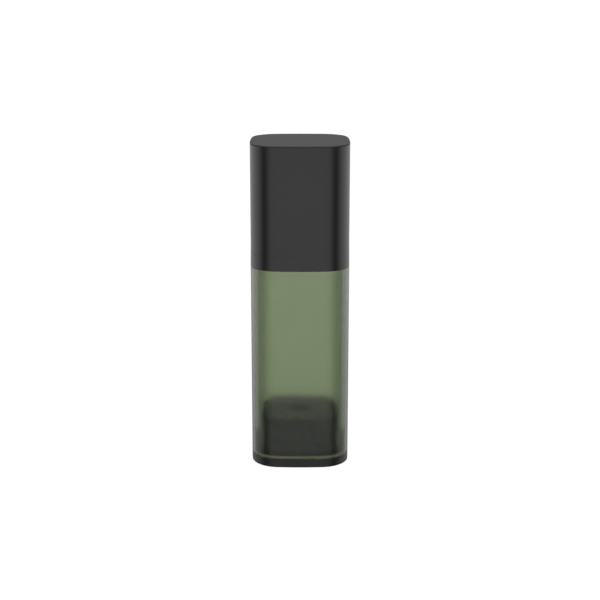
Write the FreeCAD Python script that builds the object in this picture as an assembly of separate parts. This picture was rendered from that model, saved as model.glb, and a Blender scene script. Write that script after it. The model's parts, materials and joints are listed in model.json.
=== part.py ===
import FreeCAD, Part
import math
import os

# Airless pump bottle of nominal 30 ml with a lift-off cap. Sizes are in millimetres.
# The bottle stands on the XY plane, +Z is up, and the nozzle faces -Y.

# Square bottle: outline from above, jacket, product bottle and base
bottle_width = 33.0
side_radius = 110.0
corner_radius = 9.2
jacket_length = 64.6
jacket_wall = 1.1
jacket_gap = 0.1
inner_wall = 2.2
base_thickness = 3.2
foot_bevel = 0.3
base_rim = 3.0
base_recess = 1.2
plug_height = 3.0
plug_wall = 1.4
plug_fit = 0.05
vent_radius = 0.8

# Shoulder: collar that shows, plug skirt in the product bottle, and neck
collar_height = 4.95
collar_bevel = 0.15
roof_thickness = 1.75
rim_seal_thickness = 0.5
rim_fit = 0.04
skirt_depth = 3.8
skirt_wall = 1.2
skirt_fit = 0.05
neck_height = 7.55
neck_wall = 1.5
bead_rise = 0.5
bead_height = 1.2
bead_drop = 1.0

# Cap
cap_inset = 0.13
cap_wall = 1.6
cap_top = 2.0
cap_round = 0.5
cap_gap = 0.05
cap_head_room = 4.5
grip_rib_offset = 1.6
grip_rib_thickness = 0.8
grip_rib_length = 14.0
grip_rib_lift = 1.0
grip_clearance = 0.08

# Closure: ribbed sleeve over a ring that snaps under the neck's bead
closure_gap = 2.37
sleeve_wall = 0.95
sleeve_top = 1.5
sleeve_bevel = 0.5
sleeve_fit = 0.04
rib_count = 68
rib_depth = 0.35
rib_crest_share = 0.45
plain_band = 1.2
guide_wall = 1.0
guide_depth = 2.0
snap_wall = 0.86
snap_lift = 1.5
hook_height = 1.0
hook_clearance = 0.1
hook_drop = 0.05

# Pump barrel with its gasket, inlet valve and stem guide
barrel_bore = 3.9
barrel_wall = 0.9
barrel_floor = 1.2
flange_thickness = 1.5
gasket_thickness = 0.8
gasket_lip = 0.3
boss_radius = 2.4
boss_length = 2.0
inlet_radius = 0.9
ball_radius = 1.5
ball_seat_gap = 0.05
ball_stop_gap = 0.1
seat_margin = 0.1
cage_height = 3.8
cage_finger = 0.8
cage_eye_radius = 0.7
cage_slot_width = 1.2
cage_slot_reach = 3.0
cage_slot_count = 3
cage_clearance = 0.15
press_fit = 0.03
guide_flange_radius = 7.0
guide_flange_thickness = 1.2
guide_plug_depth = 2.2
spring_pocket_wall = 0.7
spring_pocket_height = 0.8
spring_pocket_gap = 0.35

# Stem, plunger and sliding seal
stroke = 4.5
stem_radius = 2.5
stem_bore = 1.2
stem_fit = 0.06
plunger_radius = 3.2
plunger_thickness = 1.0
plunger_neck_radius = 1.55
plunger_bore = 0.7
shank_length = 3.0
shank_fit = 0.02
port_radius = 0.4
port_lift = 0.15
port_count = 2
seal_height = 2.2
seal_fit = 0.03
seal_bore_fit = 0.05
seal_waist = 0.3
seal_lip_height = 0.6
seal_hub_wall = 0.8
seal_web = 0.9
seal_gap = 0.05
seal_stop_gap = 0.1
seal_lag = 0.7
bottom_gap = 0.4

# Button, spout and nozzle tip
button_radius = 6.65
button_wall = 1.1
button_ceiling = 1.6
button_round = 0.8
button_clearance = 0.1
button_press_gap = 0.5
button_overlap = 1.7
dish_depth = 1.0
dish_rim = 1.0
key_width = 1.6
key_height = 0.5
key_clearance = 0.15
hub_wall = 1.7
socket_fit = 0.03
socket_step = 0.2
spout_radius = 2.2
spout_taper = 0.3
spout_reach = 9.0
spout_clearance = 1.0
head_depth = 3.6
channel_radius = 1.0
nozzle_radius = 1.4
nozzle_depth = 2.2
nozzle_fit = 0.02
nozzle_rim_radius = 1.75
nozzle_rim_thickness = 0.5
outlet_radius = 0.6

# Return spring, round the stem between the stem guide and the button
spring_length = 9.2
spring_wire = 0.7
spring_mean_radius = 3.5
spring_turns = 5
spring_wire_sides = 8
spring_seat_gap = 0.02

# Follower piston
follower_height = 9.5
follower_fit = 0.05
follower_rest_gap = 0.1
follower_stop_gap = 0.3
follower_wall = 1.4
follower_crown = 1.6
follower_lip = 1.25
lip_rise = 0.35
lip_channel_width = 0.8
lip_channel_depth = 0.9
lip_thickness = 0.6
dimple_clearance = 0.8
dimple_depth = 1.0
dimple_floor = 1.2
follower_rib_thickness = 0.9
follower_rib_depth = 4.5

# Insets of the nested outlines from the bottle's outer surface
inner_inset = jacket_wall + jacket_gap
cavity_inset = inner_inset + inner_wall
follower_inset = cavity_inset + follower_fit
follower_body_inset = follower_inset + lip_rise

# Levels from the foot to the neck
plug_top = base_thickness + plug_height
follower_low = plug_top + follower_rest_gap
follower_top = follower_low + follower_height
jacket_top = base_thickness + jacket_length
shoulder_top = jacket_top + collar_height
roof_low = shoulder_top - roof_thickness
bottle_top = roof_low - rim_seal_thickness
skirt_low = roof_low - skirt_depth
neck_top = shoulder_top + neck_height

# Radii of the closure, from the cap inwards to the neck
closure_radius = bottle_width / 2 - cap_inset - cap_wall - closure_gap
rib_root_radius = closure_radius - rib_depth
sleeve_bore = rib_root_radius - sleeve_wall
snap_radius = sleeve_bore - sleeve_fit
snap_bore = snap_radius - snap_wall
bead_radius = snap_bore - hook_clearance
neck_radius = bead_radius - bead_rise
neck_bore = neck_radius - neck_wall
barrel_radius = barrel_bore + barrel_wall

# Levels of the pump, from the neck upwards and down into the barrel
flange_low = neck_top + gasket_thickness
flange_top = flange_low + flange_thickness
guide_top = flange_top + guide_flange_thickness
guide_low = flange_top - guide_plug_depth
seal_top = guide_low - seal_stop_gap
seal_low = seal_top - seal_height
plunger_top = seal_low - seal_gap
plunger_low = plunger_top - plunger_thickness
stem_low = seal_top + seal_lag
cage_top = plunger_low - stroke - bottom_gap
chamber_floor = cage_top - cage_height
barrel_low = chamber_floor - barrel_floor
boss_low = barrel_low - boss_length

# Inlet ball on its 45 degree seat, and how far its cage lets it lift
seat_radius = ball_radius + seat_margin
ball_level = chamber_floor - seat_radius + math.sqrt(2) * (ball_radius + ball_seat_gap)
ball_lift = cage_top - cage_finger - ball_stop_gap - ball_level - ball_radius

# Levels of the closure's top, the button and the cap
button_low = guide_top + button_press_gap + stroke
closure_top = button_low + button_overlap
nozzle_level = closure_top + stroke + spout_clearance + spout_radius
button_top = nozzle_level + head_depth
button_ceiling_level = button_top - dish_depth - button_ceiling
hub_low = guide_top + spring_length
stem_top = nozzle_level - channel_radius - socket_step
hub_radius = stem_radius + hub_wall
guide_hole = button_radius + button_clearance
cap_low = shoulder_top + cap_gap
cap_ceiling = button_top + cap_head_room
cap_high = cap_ceiling + cap_top

# Travel of the follower until its dimple nears the pump's inlet
follower_travel = boss_low + dimple_depth - follower_stop_gap - follower_top
seal_travel = stroke - seal_lag + seal_gap

UP = FreeCAD.Vector(0, 0, 1)
FORWARD = FreeCAD.Vector(0, -1, 0)


def point(x, y, z):
    return FreeCAD.Vector(x, y, z)


def arc_edge(centre, radius, start, end, turn, z):
    """Arc about a centre in plan, from angle start to end, turned as a whole about +Z."""
    points = []
    for angle in (start, (start + end) / 2, end):
        points.append(point(centre[0] + radius * math.cos(angle), centre[1] + radius * math.sin(angle), z))
    return Part.Arc(*points).toShape().rotated(point(0, 0, 0), UP, math.degrees(turn))


def plan_wire(inset, z):
    """Square outline with crowned sides and round corners, drawn in by inset."""
    side_centre = bottle_width / 2 - side_radius
    reach = side_radius - corner_radius
    corner = (side_centre + math.sqrt(2 * reach ** 2 - side_centre ** 2)) / 2
    side_angle = math.atan2(corner, corner - side_centre)
    edges = []
    for quarter in range(4):
        turn = quarter * math.pi / 2
        edges.append(arc_edge((side_centre, 0), side_radius - inset, -side_angle, side_angle, turn, z))
        corner_end = math.pi / 2 - side_angle
        edges.append(arc_edge((corner, corner), corner_radius - inset, side_angle, corner_end, turn, z))
    return Part.Wire(edges)


def prism(inset, low, high):
    return Part.Face(plan_wire(inset, low)).extrude(UP * (high - low))


def tube_prism(outer_inset, inner_inset, low, high):
    return prism(outer_inset, low, high).cut(prism(inner_inset, low, high))


def cylinder(radius, low, high):
    return Part.makeCylinder(radius, high - low, point(0, 0, low))


def turned(profile):
    """Solid of revolution about the bottle's axis from (radius, level) points."""
    corners = [point(radius, 0, level) for radius, level in profile]
    wire = Part.makePolygon(corners + corners[:1])
    return Part.Face(wire).revolve(point(0, 0, 0), UP, 360)


def box_between(low, high):
    return Part.makeBox(high[0] - low[0], high[1] - low[1], high[2] - low[2], point(*low))


def quarter_turns(shape):
    """The shape and its copies at each of the other three sides."""
    return [shape.rotated(point(0, 0, 0), UP, 90 * side) for side in range(4)]


def edges_at(shape, level):
    return [edge for edge in shape.Edges if all(abs(v.Z - level) < 1e-6 for v in edge.Vertexes)]


def round_level(shape, radius, level):
    """Round the edges that lie wholly at one level."""
    return shape.makeFillet(radius, edges_at(shape, level))


def bevel_level(shape, size, level):
    """Bevel the edges that lie wholly at one level."""
    return shape.makeChamfer(size, edges_at(shape, level))


def make_outer_jacket():
    return tube_prism(0, jacket_wall, base_thickness, jacket_top)


def make_inner_bottle():
    return tube_prism(inner_inset, cavity_inset, base_thickness, bottle_top)


def make_base_plug():
    body = bevel_level(prism(0, 0, base_thickness), foot_bevel, 0)
    body = body.cut(prism(base_rim, 0, base_recess))
    body = body.cut(cylinder(vent_radius, base_recess, base_thickness))
    plug_inset = cavity_inset + plug_fit
    plug = tube_prism(plug_inset, plug_inset + plug_wall, base_thickness, plug_top)
    return body.fuse(plug).removeSplitter()


def make_shoulder():
    collar = prism(0, jacket_top, shoulder_top)
    collar = bevel_level(collar, collar_bevel, jacket_top)
    collar = bevel_level(collar, collar_bevel, shoulder_top)
    collar = collar.cut(prism(inner_inset - rim_fit, jacket_top, roof_low))
    skirt_inset = cavity_inset + skirt_fit
    skirt = tube_prism(skirt_inset, skirt_inset + skirt_wall, skirt_low, roof_low)
    bead_high = neck_top - bead_drop
    bead_low = bead_high - bead_height
    neck = turned([
        (neck_bore, roof_low),
        (neck_radius, roof_low),
        (neck_radius, bead_low),
        (bead_radius, bead_low),
        (bead_radius, bead_high - bead_rise),
        (neck_radius, bead_high),
        (neck_radius, neck_top),
        (neck_bore, neck_top),
    ])
    body = collar.fuse([skirt, neck]).cut(cylinder(neck_bore, roof_low, neck_top))
    return body.removeSplitter()


def make_rim_seal():
    return tube_prism(inner_inset, cavity_inset, bottle_top, roof_low)


def make_cap():
    body = round_level(prism(cap_inset, cap_low, cap_high), cap_round, cap_high)
    body = body.cut(prism(cap_inset + cap_wall, cap_low, cap_ceiling))
    wall_face = bottle_width / 2 - cap_inset - cap_wall
    ribs = []
    for offset in (-grip_rib_offset, grip_rib_offset):
        low = (offset - grip_rib_thickness / 2, -wall_face - cap_wall / 2, cap_low + grip_rib_lift)
        high = (offset + grip_rib_thickness / 2, -closure_radius - grip_clearance, low[2] + grip_rib_length)
        ribs += quarter_turns(box_between(low, high))
    return body.fuse(ribs).removeSplitter()


def ribbed_wire(z):
    """Outline of the sleeve's finger ribs: crests on the closure's radius, roots one rib depth inside."""
    pitch = 2 * math.pi / rib_count
    flank = pitch * (1 - 2 * rib_crest_share) / 2
    crest = pitch * rib_crest_share
    corners = []
    for rib in range(rib_count):
        angle = rib * pitch
        for radius, step in (
            (rib_root_radius, 0),
            (closure_radius, flank),
            (closure_radius, flank + crest),
            (rib_root_radius, 2 * flank + crest),
        ):
            corners.append(point(radius * math.cos(angle + step), radius * math.sin(angle + step), z))
    return Part.makePolygon(corners + corners[:1])


def make_closure_sleeve():
    rib_high = closure_top - plain_band
    ribs = Part.Face(ribbed_wire(shoulder_top)).extrude(UP * (rib_high - shoulder_top))
    head = bevel_level(cylinder(rib_root_radius, rib_high, closure_top), sleeve_bevel, closure_top)
    plate_low = closure_top - sleeve_top
    body = ribs.fuse(head).cut(cylinder(sleeve_bore, shoulder_top, plate_low))
    guide = cylinder(guide_hole + guide_wall, plate_low - guide_depth, plate_low)
    body = body.fuse(guide).cut(cylinder(guide_hole, plate_low - guide_depth, closure_top))
    slot_width = key_width / 2 + key_clearance
    slot_reach = button_radius + key_height + key_clearance
    slot_low = (-slot_reach, -slot_width, plate_low - guide_depth)
    return body.cut(box_between(slot_low, (slot_reach, slot_width, closure_top)))


def make_snap_ring():
    low = shoulder_top + snap_lift
    hook_high = neck_top - bead_drop - bead_height - hook_drop
    hook_radius = neck_radius + hook_clearance
    lead = snap_bore - hook_radius
    eye = guide_flange_radius + hook_clearance
    return turned([
        (snap_radius, low),
        (snap_radius, guide_top),
        (eye, guide_top),
        (eye, flange_top),
        (snap_bore, flange_top),
        (snap_bore, hook_high),
        (hook_radius, hook_high),
        (hook_radius, hook_high - hook_height + lead),
        (snap_bore, hook_high - hook_height),
        (snap_bore, low),
    ])


def make_housing_gasket():
    inner = neck_bore - gasket_lip
    return cylinder(neck_radius, neck_top, flange_low).cut(cylinder(inner, neck_top, flange_low))


def make_pump_housing():
    seat_low = chamber_floor - (seat_radius - inlet_radius)
    return turned([
        (inlet_radius, boss_low),
        (boss_radius, boss_low),
        (boss_radius, barrel_low),
        (barrel_radius, chamber_floor),
        (barrel_radius, flange_low),
        (neck_radius, flange_low),
        (neck_radius, flange_top),
        (barrel_bore, flange_top),
        (barrel_bore, chamber_floor),
        (seat_radius, chamber_floor),
        (inlet_radius, seat_low),
    ])


def make_ball_cage():
    finger_low = cage_top - cage_finger
    bore = ball_radius + cage_clearance
    body = turned([
        (bore, chamber_floor),
        (barrel_bore - press_fit, chamber_floor),
        (barrel_bore - press_fit, cage_top),
        (cage_eye_radius, cage_top),
        (cage_eye_radius, finger_low),
        (bore, finger_low),
    ])
    half = cage_slot_width / 2
    slot = box_between((0, -half, chamber_floor), (cage_slot_reach, half, cage_top))
    slots = [slot.rotated(point(0, 0, 0), UP, 360 * i / cage_slot_count) for i in range(cage_slot_count)]
    return body.cut(slots)


def make_inlet_ball():
    return Part.makeSphere(ball_radius, point(0, 0, ball_level))


def make_stem_guide():
    bore = stem_radius + stem_fit
    pocket = spring_mean_radius + spring_wire / 2 + spring_pocket_gap
    pocket_high = guide_top + spring_pocket_height
    return turned([
        (bore, guide_low),
        (barrel_bore - press_fit, guide_low),
        (barrel_bore - press_fit, flange_top),
        (guide_flange_radius, flange_top),
        (guide_flange_radius, guide_top),
        (pocket + spring_pocket_wall, guide_top),
        (pocket + spring_pocket_wall, pocket_high),
        (pocket, pocket_high),
        (pocket, guide_top),
        (bore, guide_top),
    ])


def make_pump_stem():
    body = cylinder(stem_radius, stem_low, stem_top)
    return body.cut(cylinder(stem_bore, stem_low, stem_top))


def make_plunger():
    shank_radius = stem_bore - shank_fit
    shank_high = stem_low + shank_length
    body = turned([
        (0, plunger_low),
        (plunger_radius, plunger_low),
        (plunger_radius, plunger_top),
        (plunger_neck_radius, plunger_top),
        (plunger_neck_radius, stem_low),
        (shank_radius, stem_low),
        (shank_radius, shank_high),
        (0, shank_high),
    ])
    port_level = plunger_top + port_lift + port_radius
    body = body.cut(cylinder(plunger_bore, plunger_top, shank_high))
    port_root = point(0, plunger_radius, port_level)
    port = Part.makeCylinder(port_radius, 2 * plunger_radius, port_root, FORWARD)
    for i in range(port_count):
        body = body.cut(port.rotated(point(0, 0, 0), UP, 180 * i / port_count))
    return body


def make_plunger_seal():
    bore = plunger_neck_radius + seal_bore_fit
    hub = bore + seal_hub_wall
    lip = barrel_bore - seal_fit
    waist = lip - seal_waist
    web_low = (seal_low + seal_top - seal_web) / 2
    web_high = web_low + seal_web
    inner_lip = waist - seal_waist
    return turned([
        (bore, seal_low),
        (hub, seal_low),
        (hub, web_low),
        (inner_lip, web_low),
        (waist, seal_low),
        (lip, seal_low),
        (lip, seal_low + seal_lip_height),
        (waist, web_low),
        (waist, web_high),
        (lip, seal_top - seal_lip_height),
        (lip, seal_top),
        (waist, seal_top),
        (inner_lip, web_high),
        (hub, web_high),
        (hub, seal_top),
        (bore, seal_top),
    ])


def make_actuator_button():
    shell = round_level(cylinder(button_radius, button_low, button_top), button_round, button_top)
    shell = shell.cut(cylinder(button_radius - button_wall, button_low, button_ceiling_level))
    hub = cylinder(hub_radius, hub_low, button_ceiling_level)
    spout_root = point(0, 0, nozzle_level)
    spout = Part.makeCone(spout_radius, spout_radius - spout_taper, spout_reach, spout_root, FORWARD)
    key_high = closure_top + stroke
    key_reach = button_radius + key_height
    keys = []
    for side in (-1, 1):
        inner = side * (button_radius - button_wall / 2)
        outer = side * key_reach
        low = (min(inner, outer), -key_width / 2, button_low)
        keys.append(box_between(low, (max(inner, outer), key_width / 2, key_high)))
    body = shell.fuse([hub, spout] + keys)
    dish_radius = button_radius - dish_rim
    ball = (dish_radius ** 2 + dish_depth ** 2) / (2 * dish_depth)
    body = body.cut(Part.makeSphere(ball, point(0, 0, button_top - dish_depth + ball)))
    body = body.cut(cylinder(stem_radius + socket_fit, hub_low, stem_top))
    body = body.cut(cylinder(stem_bore, stem_top, nozzle_level))
    body = body.cut(Part.makeCylinder(channel_radius, spout_reach, spout_root, FORWARD))
    pocket_root = point(0, nozzle_depth - spout_reach, nozzle_level)
    return body.cut(Part.makeCylinder(nozzle_radius, nozzle_depth, pocket_root, FORWARD))


def make_nozzle_tip():
    root = point(0, nozzle_depth - spout_reach, nozzle_level)
    plug = Part.makeCylinder(nozzle_radius - nozzle_fit, nozzle_depth, root, FORWARD)
    rim_root = point(0, -spout_reach, nozzle_level)
    rim = Part.makeCylinder(nozzle_radius, nozzle_rim_thickness, rim_root, FORWARD)
    flare = Part.makeCone(nozzle_rim_radius, nozzle_radius, nozzle_rim_thickness, rim_root, FORWARD)
    outlet = Part.makeCylinder(outlet_radius, nozzle_depth + nozzle_rim_thickness, root, FORWARD)
    chamber = Part.makeCylinder(channel_radius, nozzle_depth / 2, root, FORWARD)
    return plug.fuse([rim, flare]).cut([outlet, chamber]).removeSplitter()


def coil_point(angle):
    """Point of the spring's centre line at a turning angle from its lower end."""
    low = guide_top + spring_wire / 2 + spring_seat_gap
    rise = spring_length - spring_wire - 2 * spring_seat_gap
    level = low + rise * angle / (2 * math.pi * spring_turns)
    return point(spring_mean_radius * math.cos(angle), spring_mean_radius * math.sin(angle), level)


def coil_direction(angle):
    """Unit direction of the spring's centre line at a turning angle."""
    rise = (spring_length - spring_wire - 2 * spring_seat_gap) / (2 * math.pi * spring_turns)
    direction = point(-spring_mean_radius * math.sin(angle), spring_mean_radius * math.cos(angle), rise)
    return direction.normalize()


def tangent_arc(start, corner, end):
    """Arc from start to end whose tangents meet at corner, the same distance from both."""
    weight = (end - start).Length / (2 * (corner - start).Length)
    middle = (start + corner * (2 * weight) + end) * (1 / (2 + 2 * weight))
    return Part.Arc(start, middle, end).toShape()


def biarc(start, start_direction, end, end_direction):
    """Two arcs that leave start and reach end in the given directions and join smoothly."""
    span = end - start
    along = span.dot(start_direction + end_direction)
    bend = 1 - start_direction.dot(end_direction)
    reach = (math.sqrt(along ** 2 + 2 * bend * span.dot(span)) - along) / (2 * bend)
    first = start + start_direction * reach
    second = end - end_direction * reach
    joint = (first + second) * 0.5
    return [tangent_arc(start, first, joint), tangent_arc(joint, second, end)]


def spring_gap():
    """Least gap between neighbouring turns, measured on points of the centre line."""
    steps = 48
    points = [coil_point(2 * math.pi * i / steps) for i in range(steps * spring_turns + 1)]
    gaps = []
    for i, here in enumerate(points):
        gaps += [here.distanceToPoint(there) for there in points[i + steps // 2:]]
    return min(gaps) - spring_wire


def make_return_spring():
    step = math.pi / 2
    edges = []
    for i in range(4 * spring_turns):
        start = i * step
        end = start + step
        edges += biarc(coil_point(start), coil_direction(start), coil_point(end), coil_direction(end))
    outward = coil_point(0) - point(0, 0, coil_point(0).z)
    corners = []
    for i in range(spring_wire_sides):
        turn = FreeCAD.Rotation(coil_direction(0), 360 * (i + 0.5) / spring_wire_sides)
        corners.append(coil_point(0) + turn.multVec(outward.normalize() * (spring_wire / 2)))
    pipe = Part.BRepOffsetAPI.MakePipeShell(Part.Wire(edges))
    pipe.add(Part.makePolygon(corners + corners[:1]))
    pipe.build()
    pipe.makeSolid()
    return pipe.shape()


def make_follower_piston():
    lower_lip = prism(follower_inset, follower_low, follower_low + follower_lip)
    upper_lip = prism(follower_inset, follower_top - follower_lip, follower_top)
    body = prism(follower_body_inset, follower_low, follower_top).fuse([lower_lip, upper_lip])
    crown_low = follower_top - follower_crown
    body = body.cut(prism(follower_body_inset + follower_wall, follower_low, crown_low))
    channel_inset = follower_inset + lip_thickness
    channel_low = follower_top - lip_channel_depth
    channel = tube_prism(channel_inset, channel_inset + lip_channel_width, channel_low, follower_top)
    dimple_radius = boss_radius + dimple_clearance
    hub_low_level = follower_top - dimple_depth - dimple_floor
    hub = cylinder(dimple_radius + follower_wall, hub_low_level, crown_low)
    rib_reach = bottle_width / 2 - follower_body_inset - follower_wall / 2
    rib_half = follower_rib_thickness / 2
    rib_low = (-rib_reach, -rib_half, crown_low - follower_rib_depth)
    rib = box_between(rib_low, (rib_reach, rib_half, crown_low))
    body = body.fuse([hub, rib, rib.rotated(point(0, 0, 0), UP, 90)])
    dimple = cylinder(dimple_radius, follower_top - dimple_depth, follower_top)
    return body.cut([channel, dimple]).removeSplitter()


pieces = {
    "outer_jacket": make_outer_jacket,
    "inner_bottle": make_inner_bottle,
    "base_plug": make_base_plug,
    "follower_piston": make_follower_piston,
    "shoulder": make_shoulder,
    "rim_seal": make_rim_seal,
    "housing_gasket": make_housing_gasket,
    "pump_housing": make_pump_housing,
    "ball_cage": make_ball_cage,
    "inlet_ball": make_inlet_ball,
    "stem_guide": make_stem_guide,
    "snap_ring": make_snap_ring,
    "closure_sleeve": make_closure_sleeve,
    "plunger": make_plunger,
    "plunger_seal": make_plunger_seal,
    "pump_stem": make_pump_stem,
    "return_spring": make_return_spring,
    "actuator_button": make_actuator_button,
    "nozzle_tip": make_nozzle_tip,
    "cap": make_cap,
}

os.makedirs("parts", exist_ok=True)
for name, make in pieces.items():
    make().exportStep(os.path.join("parts", name + ".step"))

print("overall height %.2f, closure radius %.2f" % (cap_high, closure_radius))
print("least gap between spring turns %.2f" % spring_gap())
print("travel: follower %.2f, ball %.2f, seal %.3f" % (follower_travel, ball_lift, seal_travel))
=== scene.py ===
import json
import logging
import math
from dataclasses import dataclass
from enum import Enum
from typing import Any, Iterable, Optional, Sequence, Union

import bmesh
import bpy
from bmesh.types import BMEdge, BMesh, BMVert
from mathutils import Matrix, Vector


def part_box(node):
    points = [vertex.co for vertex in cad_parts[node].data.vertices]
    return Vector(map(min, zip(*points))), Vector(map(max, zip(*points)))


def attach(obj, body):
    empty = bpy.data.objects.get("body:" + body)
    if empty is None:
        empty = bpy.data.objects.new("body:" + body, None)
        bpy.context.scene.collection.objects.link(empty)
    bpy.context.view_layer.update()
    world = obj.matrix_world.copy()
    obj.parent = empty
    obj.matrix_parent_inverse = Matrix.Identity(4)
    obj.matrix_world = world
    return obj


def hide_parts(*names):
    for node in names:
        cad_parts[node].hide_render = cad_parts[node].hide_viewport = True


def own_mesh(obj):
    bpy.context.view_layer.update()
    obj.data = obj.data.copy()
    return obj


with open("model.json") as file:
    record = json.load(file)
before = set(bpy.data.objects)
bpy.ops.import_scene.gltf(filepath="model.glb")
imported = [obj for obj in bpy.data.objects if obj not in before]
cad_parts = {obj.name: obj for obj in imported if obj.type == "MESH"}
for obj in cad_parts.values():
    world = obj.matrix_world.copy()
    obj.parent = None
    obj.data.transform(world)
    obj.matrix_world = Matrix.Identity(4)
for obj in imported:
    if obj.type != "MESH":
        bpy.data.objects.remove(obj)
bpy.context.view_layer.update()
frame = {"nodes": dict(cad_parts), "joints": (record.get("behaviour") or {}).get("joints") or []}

MM = 0.001
UP = Vector((0, 0, 1))
MERGE_DISTANCE = 1e-7
BRIDGE_LIFT = 1 * MM
SIDES = 4
ROUND_STEPS = 96
SPOUT_STEPS = 64
NOZZLE_STEPS = 48
EDGE_SEGMENTS = 2
LIP_SEGMENTS = 3
CROWN_SEGMENTS = 5
SOFT_DETAIL = 2.0
CLOUD_DETAIL = 3.0
MARK_DETAIL = 4.0
NOISE_MEAN = 0.5
CRISP_ANGLE = math.radians(32.0)
MIX_FACTOR, MIX_FIRST, MIX_SECOND, MIX_RESULT = 0, 6, 7, 2
LOG = logging.getLogger("airless_bottle")

Colour = tuple[float, float, float]
Stretch = tuple[float, float, float]
Profile = Sequence[tuple[float, float]]


class Body(Enum):
    """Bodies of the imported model."""

    BOTTLE = "bottle"
    CAP = "cap"
    BUTTON = "button"
    FOLLOWER = "follower"


class Slot(Enum):
    """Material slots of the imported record."""

    BLACK_GLOSS = "black_gloss"
    BLACK_SATIN = "black_satin"
    CLEAR_JACKET = "clear_jacket"
    GREEN_FROST = "green_frost"
    DARK_FOLLOWER = "dark_follower"
    NATURAL_PLASTIC = "natural_plastic"
    SOFT_SEAL = "soft_seal"
    BRIGHT_STEEL = "bright_steel"


class Merge(Enum):
    """How a second solid changes a first one."""

    JOIN = "UNION"
    REMOVE = "DIFFERENCE"


class Signal:
    """A shader socket that takes part in Python arithmetic."""

    def __init__(self, graph: "ShaderGraph", socket: Optional[bpy.types.NodeSocket]) -> None:
        """Keep the socket and the graph that new nodes go to."""
        self.graph = graph
        self.socket = socket

    def __add__(self, other: Any) -> "Signal":
        """Sum."""
        return self.graph.math("ADD", self, other)

    def __radd__(self, other: Any) -> "Signal":
        """Sum with the number first."""
        return self.graph.math("ADD", other, self)

    def __sub__(self, other: Any) -> "Signal":
        """Difference."""
        return self.graph.math("SUBTRACT", self, other)

    def __rsub__(self, other: Any) -> "Signal":
        """Difference with the number first."""
        return self.graph.math("SUBTRACT", other, self)

    def __mul__(self, other: Any) -> "Signal":
        """Product."""
        return self.graph.math("MULTIPLY", self, other)

    def __rmul__(self, other: Any) -> "Signal":
        """Product with the number first."""
        return self.graph.math("MULTIPLY", other, self)

    def __truediv__(self, other: Any) -> "Signal":
        """Quotient."""
        return self.graph.math("DIVIDE", self, other)

    def __rtruediv__(self, other: Any) -> "Signal":
        """Quotient with the number first."""
        return self.graph.math("DIVIDE", other, self)

    def __pow__(self, other: Any) -> "Signal":
        """Power."""
        return self.graph.math("POWER", self, other)

    def __rpow__(self, other: Any) -> "Signal":
        """Power of a number."""
        return self.graph.math("POWER", other, self)


class ShaderGraph:
    """The nodes of one material or of the world, made by plain calls."""

    def __init__(self, tree: bpy.types.NodeTree) -> None:
        """Start from an empty tree."""
        self.tree = tree
        self.tree.nodes.clear()

    def node(self, kind: str, settings: Optional[dict[str, Any]] = None,
             sockets: Optional[dict[Union[str, int], Any]] = None,
             output: Union[str, int] = 0) -> Signal:
        """Add one node.

        Args:
            kind: The node's type.
            settings: The node's own settings, which are set before its sockets.
            sockets: A value or a Signal for each input, by name or by place.
            output: The output that the returned Signal stands for.

        Returns:
            The chosen output, or an empty Signal for a node that has none.
        """
        made = self.tree.nodes.new(kind)
        for name, value in (settings or {}).items():
            setattr(made, name, value)
        for key, value in (sockets or {}).items():
            if isinstance(value, Signal):
                self.tree.links.new(value.socket, made.inputs[key])
            else:
                made.inputs[key].default_value = value
        return Signal(self, made.outputs[output] if len(made.outputs) else None)

    def math(self, operation: str, first: Any, second: Any = 0.0) -> Signal:
        """Add the Math node of one operation."""
        return self.node("ShaderNodeMath", {"operation": operation}, {0: first, 1: second})

    def place(self, output: str = "Object") -> Signal:
        """Coordinates of the shaded point."""
        return self.node("ShaderNodeTexCoord", output=output)

    def axis(self, vector: Signal, name: str) -> Signal:
        """One coordinate of a vector."""
        return self.node("ShaderNodeSeparateXYZ", sockets={0: vector}, output=name)

    def noise(self, size: float, detail: float, stretch: Stretch = (1.0, 1.0, 1.0)) -> Signal:
        """Soft noise from 0 to 1.

        Args:
            size: Size of its largest features, in metres.
            detail: How many finer octaves it has.
            stretch: How much faster it changes along each axis.

        Returns:
            The noise as a number.
        """
        where = self.node("ShaderNodeMapping", sockets={"Vector": self.place(), "Scale": stretch})
        sockets = {"Vector": where, "Scale": 1 / size, "Detail": detail}
        return self.node("ShaderNodeTexNoise", sockets=sockets)

    def blend(self, first: Any, second: Any, share: Any) -> Signal:
        """Mix two colours."""
        sockets = {MIX_FACTOR: share, MIX_FIRST: first, MIX_SECOND: second}
        return self.node("ShaderNodeMix", {"data_type": "RGBA"}, sockets, output=MIX_RESULT)

    def bump(self, height: Signal, distance: float) -> Signal:
        """Normal of a surface whose height varies by up to a distance in metres."""
        return self.node("ShaderNodeBump", sockets={"Height": height, "Distance": distance})

    def ray(self, *kinds: str) -> Signal:
        """One for rays of the named kinds, and zero for the rest.

        Args:
            kinds: Outputs of the Light Path node.

        Returns:
            The test as a number.
        """
        total = self.node("ShaderNodeLightPath", output=kinds[0])
        for kind in kinds[1:]:
            total = total + self.node("ShaderNodeLightPath", output=kind)
        return self.math("MINIMUM", total, 1.0)


def new_material(name: str) -> tuple[bpy.types.Material, ShaderGraph]:
    """Start an empty material.

    Args:
        name: The material's name.

    Returns:
        The material and the graph of its nodes.
    """
    material = bpy.data.materials.new(name)
    material.use_nodes = True
    return material, ShaderGraph(material.node_tree)


def opaque(colour: Colour) -> tuple[float, float, float, float]:
    """A colour with full alpha."""
    return (*colour, 1.0)


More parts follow.
